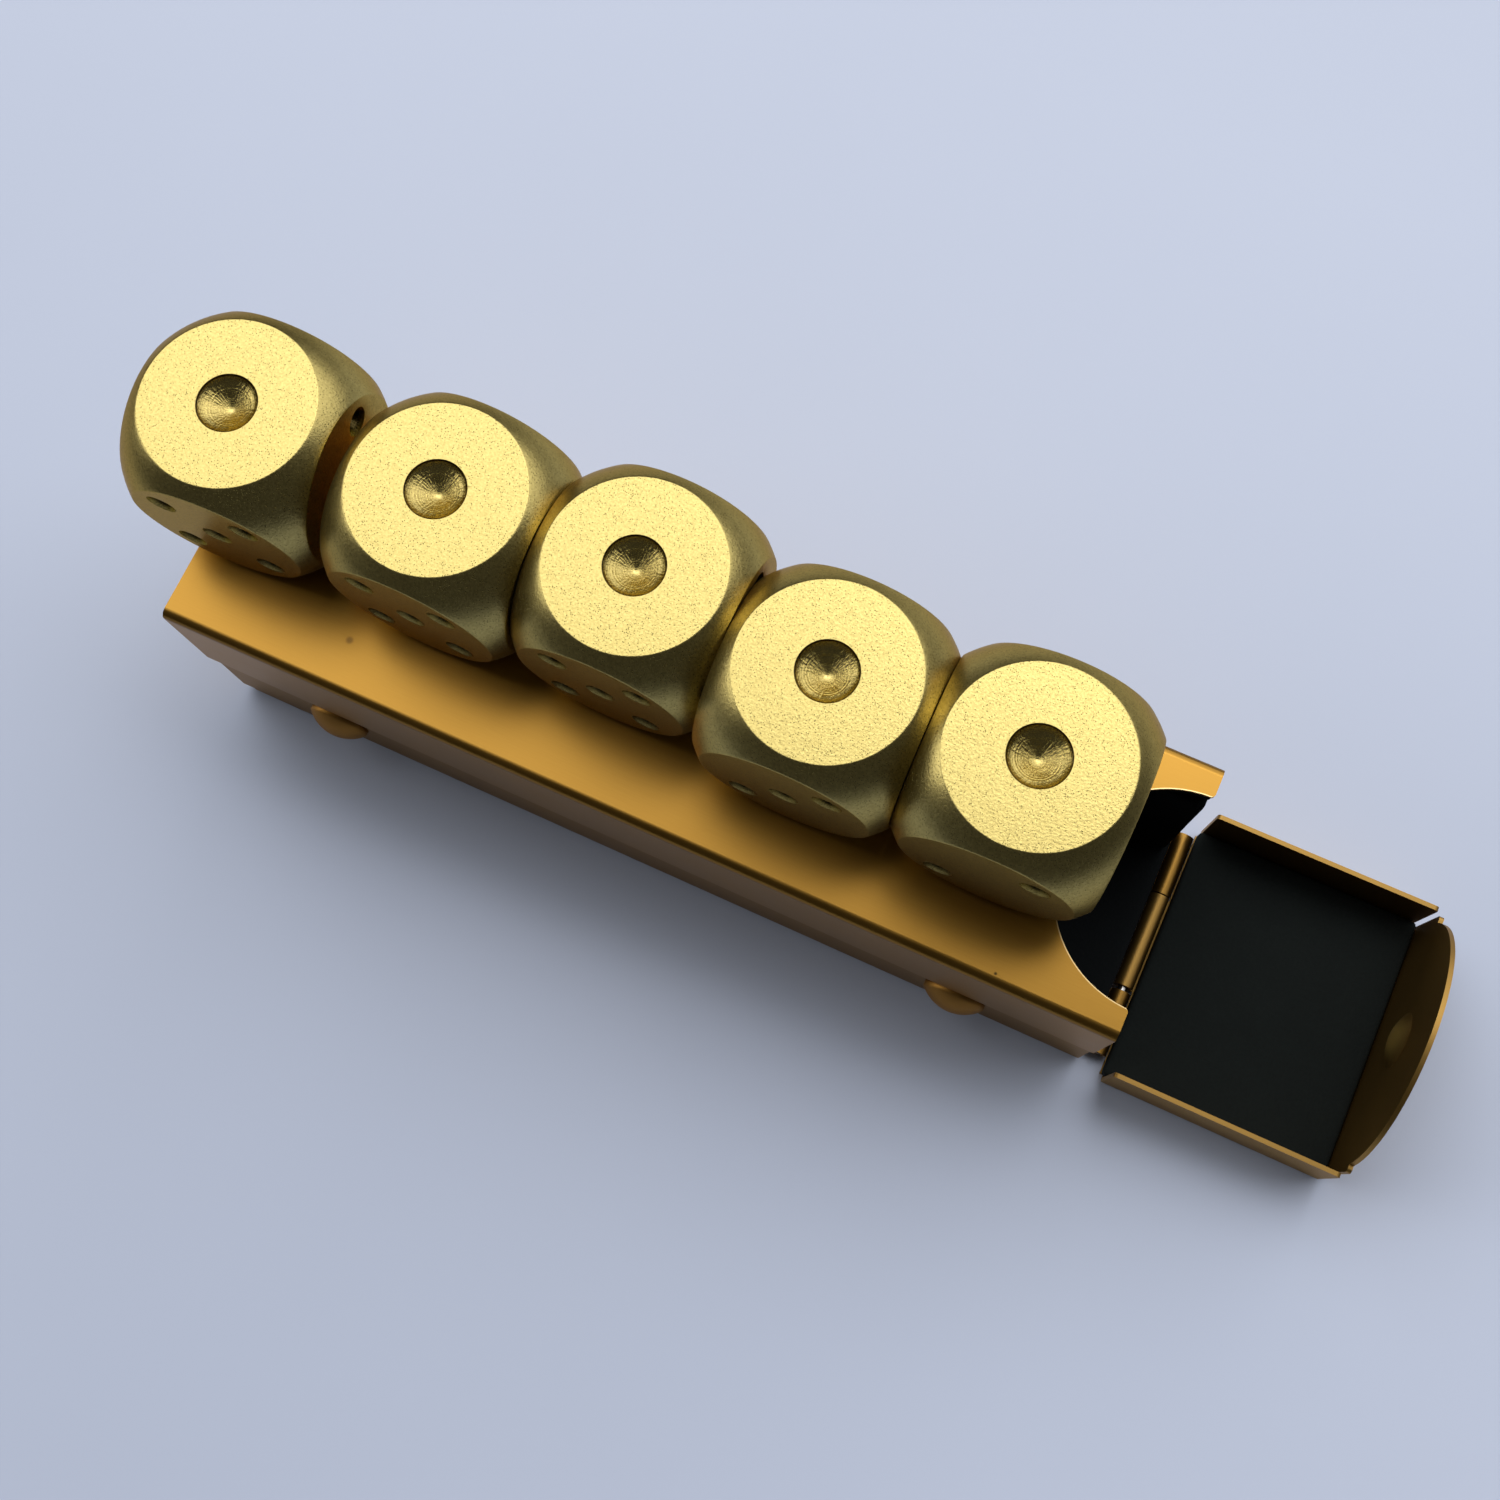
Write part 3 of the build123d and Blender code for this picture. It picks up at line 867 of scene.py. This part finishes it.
# %% Rivets
def make_rivets():
    low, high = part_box("case_rivets")
    tray_low, tray_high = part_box("case_tray")
    head_r = (high.z - low.z) / 2
    spots = [(x, y, (low.z + high.z) / 2)
             for x in (low.x + head_r, high.x - head_r) for y in (tray_low.y, tray_high.y)]
    mesh = bpy.data.meshes.new("case_rivets_domed")
    mesh.from_pydata(spots, [], [])
    rivets = show("case_rivets_domed", mesh)
    rivets.modifiers.new("rivets", "NODES").node_group = rivet_tree
    settle(rivets)
    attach(rivets, "case")
    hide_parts("case_rivets")
    return report(rivets)


make_rivets()

# %% [markdown]
# ## Foam strips
# Every strip is a block of soft sheet foam: cut edges that round over, faces that ripple a little. That is a
# rule, so one Geometry Nodes tree makes all six from a size, a place, an edge radius and a ripple. A fine
# grid cube gives it points to move. Pulling each point back inside by the radius and out again along the
# way it came rounds the edges. The strip under the top wall also has a round bite at the thumb notch.

# %% Geometry tree for foam
least_points = 4.0
bite_depth = 8.0 * mm


def make_foam_tree():
    tree, start, end = group_tree(
        "Foam strip", "GeometryNodeTree",
        {"Geometry": ("Geometry", None), "Size": ("Vector", (0.01, 0.01, 0.002)),
         "Centre": ("Vector", (0.0, 0.0, 0.0)), "Spacing": ("Float", 0.8 * mm),
         "Edge Radius": ("Float", 0.25 * mm), "Ripple": ("Float", 0.05 * mm),
         "Notch Radius": ("Float", 0.0), "Notch Centre": ("Vector", (0.0, 0.0, 0.0)),
         "Finish": ("Material", None)},
        {"Geometry": "Geometry"})
    size, radius = start.outputs["Size"], start.outputs["Edge Radius"]
    counts = {}
    for axis, length in zip("XYZ", split(tree, size)):
        cells = calc(tree, "DIVIDE", length, start.outputs["Spacing"])
        counts["Vertices " + axis] = calc(tree, "ADD", calc(tree, "FLOOR", cells), least_points)
    block = add(tree, "GeometryNodeMeshCube", {"Size": size, **counts})
    place = add(tree, "GeometryNodeInputPosition").outputs[0]
    inset = join(tree, radius, radius, radius)
    core_half = vector_calc(tree, "SUBTRACT", vector_calc(tree, "MULTIPLY", size, (0.5, 0.5, 0.5)), inset)
    core_low = vector_calc(tree, "MULTIPLY", core_half, (-1, -1, -1))
    core = vector_calc(tree, "MAXIMUM", vector_calc(tree, "MINIMUM", place, core_half), core_low)
    way = vector_calc(tree, "NORMALIZE", vector_calc(tree, "SUBTRACT", place, core))
    rounded = vector_calc(tree, "ADD", core, vector_calc(tree, "MULTIPLY", way, inset))
    soft = add(tree, "GeometryNodeSetPosition", {"Geometry": block.outputs["Mesh"], "Position": rounded})
    waves = add(tree, "ShaderNodeTexNoise", {"Scale": 260.0, "Detail": 3.0}).outputs[0]
    depth = calc(tree, "MULTIPLY", calc(tree, "SUBTRACT", waves, 1.0), start.outputs["Ripple"])
    along = add(tree, "GeometryNodeInputNormal").outputs[0]
    push = add(tree, "ShaderNodeVectorMath", {0: along, "Scale": depth}, operation="SCALE").outputs[0]
    rippled = add(tree, "GeometryNodeSetPosition", {"Geometry": soft.outputs[0], "Offset": push})
    put = moved(tree, rippled.outputs[0], start.outputs["Centre"])
    bite = add(tree, "GeometryNodeMeshCylinder",
               {"Vertices": 96, "Radius": start.outputs["Notch Radius"], "Depth": bite_depth})
    bite_put = moved(tree, bite.outputs["Mesh"], start.outputs["Notch Centre"])
    bitten = add(tree, "GeometryNodeMeshBoolean", {"Mesh 1": put, "Mesh 2": bite_put},
                 operation="DIFFERENCE", solver="EXACT")
    has_bite = calc(tree, "GREATER_THAN", start.outputs["Notch Radius"], 0.0)
    chosen = add(tree, "GeometryNodeSwitch",
                 {"Switch": has_bite, "False": put, "True": bitten.outputs["Mesh"]}, input_type="GEOMETRY")
    smooth = add(tree, "GeometryNodeSetShadeSmooth", {"Geometry": chosen.outputs[0]})
    painted = add(tree, "GeometryNodeSetMaterial",
                  {"Geometry": smooth.outputs[0], "Material": start.outputs["Finish"]})
    real = add(tree, "GeometryNodeRealizeInstances", {"Geometry": painted.outputs[0]})
    tree.links.new(real.outputs[0], end.inputs["Geometry"])
    return tree


foam_tree = make_foam_tree()
sockets = foam_tree.interface.items_tree
foam_inputs = {item.name: item.identifier for item in sockets if item.in_out == "INPUT"}
print("foam tree takes", sorted(foam_inputs))

# %% [markdown]
# ## Cutting the foam
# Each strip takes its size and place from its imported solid's box, and is a soft solid filled right through.
# The floor strip stands a little proud of its solid at the hinge, where the real one closes the gap. The
# pad in the lid is seen from close by, so its grid is finer and its edges are softer.

# %% Foam pieces
def make_foam_piece(node_name, body, slot_name, finish, proud=0.0, **settings):
    low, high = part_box(node_name)
    high.x += proud
    piece = show(node_name + "_foam", bpy.data.meshes.new(node_name + "_foam"))
    strip = piece.modifiers.new("foam", "NODES")
    strip.node_group = foam_tree
    values = {"Size": high - low, "Centre": (low + high) / 2, "Finish": finish, **settings}
    for label, value in values.items():
        strip[foam_inputs[label]] = value
    settle(piece)
    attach(piece, body)
    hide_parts(node_name)
    return report(piece)


roof_setback = 0.4 * mm
roof_bite = {"Notch Radius": notch_r + roof_setback, "Notch Centre": (cover_high.x, 0.0, cover_high.z)}
pad_softness = {"Spacing": 0.35 * mm, "Edge Radius": 0.4 * mm, "Ripple": 0.06 * mm}
make_foam_piece("lining_floor", "case", "foam", lining_foam, proud=0.3 * mm)
for strip_name in ("lining_near", "lining_far", "lining_end"):
    make_foam_piece(strip_name, "case", "foam", lining_foam)
make_foam_piece("lining_roof", "case", "foam", lining_foam, **roof_bite)
make_foam_piece("lid_pad", "lid", "pad_foam", pad_foam, **pad_softness)

# %% [markdown]
# ## The table
# The case lies on a pale table. Its paper is mottled a little, and painted shade makes it darker towards the
# camera, where the daylight falls off away from the window. Metal shows what stands around it, and here the
# table soon lies in the dark: a table that runs on to the horizon would light up every side of the dice. So
# past the part the paper's colour is painted nearly black, as painted shade that stands in for the dark room.

# %% Table
lit_reach = 0.13
dark_reach = 0.17
painted_falloff_span = (-0.08, 0.08)
mottle_share = 0.2
paper_shaded = (0.455, 0.505, 0.635, 1.0)
paper_lit = (0.60, 0.655, 0.80, 1.0)
painted_dark_room = (0.01, 0.01, 0.012, 1.0)


def make_paper():
    material = bpy.data.materials.new("table_paper")
    material.use_nodes = True
    tree = material.node_tree
    shader = tree.nodes["Principled BSDF"]
    place = on_part(tree)
    # Painted shade: the paper's colour darkens towards the camera, where the daylight falls off.
    painted_falloff = remap(tree, split(tree, place)[1], *painted_falloff_span)
    mottled = calc(tree, "MULTIPLY_ADD", noise(tree, place, 14.0, detail=3.0), mottle_share,
                   calc(tree, "MULTIPLY", painted_falloff, 1 - mottle_share))
    paper = blend(tree, mottled, paper_shaded, paper_lit)
    # Painted shade: past the lit reach the paper's colour turns nearly black, for the dark room round the
    # table.
    dim = remap(tree, vector_calc(tree, "LENGTH", place), lit_reach, dark_reach, smooth=True)
    tree.links.new(blend(tree, dim, paper, painted_dark_room), shader.inputs["Base Color"])
    shader.inputs["Roughness"].default_value = 0.75
    shader.inputs["Specular IOR Level"].default_value = 0.2
    return material


def make_table():
    reach = 4.0
    drop = -0.1 * mm
    corners = [(x * reach, y * reach, drop) for x, y in ((-1, -1), (1, -1), (1, 1), (-1, 1))]
    mesh = bpy.data.meshes.new("table")
    mesh.from_pydata(corners, [], [(0, 1, 2, 3)])
    mesh.materials.append(make_paper())
    return show("table", mesh)


table = make_table()
print("the paper is lit to", lit_reach, "m and dark from", dark_reach, "m")

# %% [markdown]
# ## Daylight
# The light comes from a high window on the far side: the flat tops show the window, and the sides show the
# dark room. A lamp could stand for the window, but its sharp outline would show in the pips. So the world
# itself is dark and holds four soft glows: the window, its upper pane and the paler wall to each side.

# %% World light
room_level = 0.055
glows = {
    "window": {"azimuth": 143, "height": 55, "dark_at": 34, "full_at": 0, "level": 3.1},
    "upper pane": {"azimuth": 79, "height": 67, "dark_at": 15, "full_at": 0, "level": 3.6},
    "right wall": {"azimuth": 63, "height": 37, "dark_at": 38, "full_at": 32, "level": 1.69},
    "left wall": {"azimuth": 192, "height": 19, "dark_at": 20, "full_at": 12, "level": 2.7},
}


def make_daylight():
    world = bpy.data.worlds.new("daylight")
    world.use_nodes = True
    tree = world.node_tree
    way = add(tree, "ShaderNodeTexCoord").outputs["Generated"]
    total = room_level
    for glow in glows.values():
        turn, height = math.radians(glow["azimuth"]), math.radians(glow["height"])
        middle = (math.cos(height) * math.cos(turn), math.cos(height) * math.sin(turn), math.sin(height))
        facing = vector_calc(tree, "DOT_PRODUCT", way, middle)
        dark_at, full_at = (math.cos(math.radians(glow[edge])) for edge in ("dark_at", "full_at"))
        share = remap(tree, facing, dark_at, full_at, 0.0, glow["level"], smooth=True)
        total = calc(tree, "ADD", total, share)
    background = tree.nodes["Background"]
    background.inputs["Color"].default_value = (1.0, 1.0, 1.0, 1.0)
    tree.links.new(total, background.inputs["Strength"])
    return world


bpy.context.scene.world = make_daylight()
print("glows", list(glows))

# %% [markdown]
# ## Camera
# The photograph was taken from close by and nearly from above, so the camera stands only 16 cm over the
# table. Its place, turn and lens were found by fitting the case's corners and the dice's flats and pips.

# %% Camera
lens_mm = 41.552
camera_place_mm = (26.444, -31.555, 155.950)
camera_turn_deg = (14.492, 2.251, 24.628)
camera_data = bpy.data.cameras.new("camera")
camera_data.sensor_width = 36.0
camera_data.lens = lens_mm
camera_data.clip_start = 0.005
camera = bpy.data.objects.new("camera", camera_data)
camera.location = [distance * mm for distance in camera_place_mm]
camera.rotation_euler = Euler([math.radians(angle) for angle in camera_turn_deg], "XYZ")
bpy.context.scene.collection.objects.link(camera)
bpy.context.scene.camera = camera
bpy.context.scene.view_settings.view_transform = "Standard"
print("lens", round(camera_data.lens, 3), "mm, camera", camera_place_mm[2], "mm up")
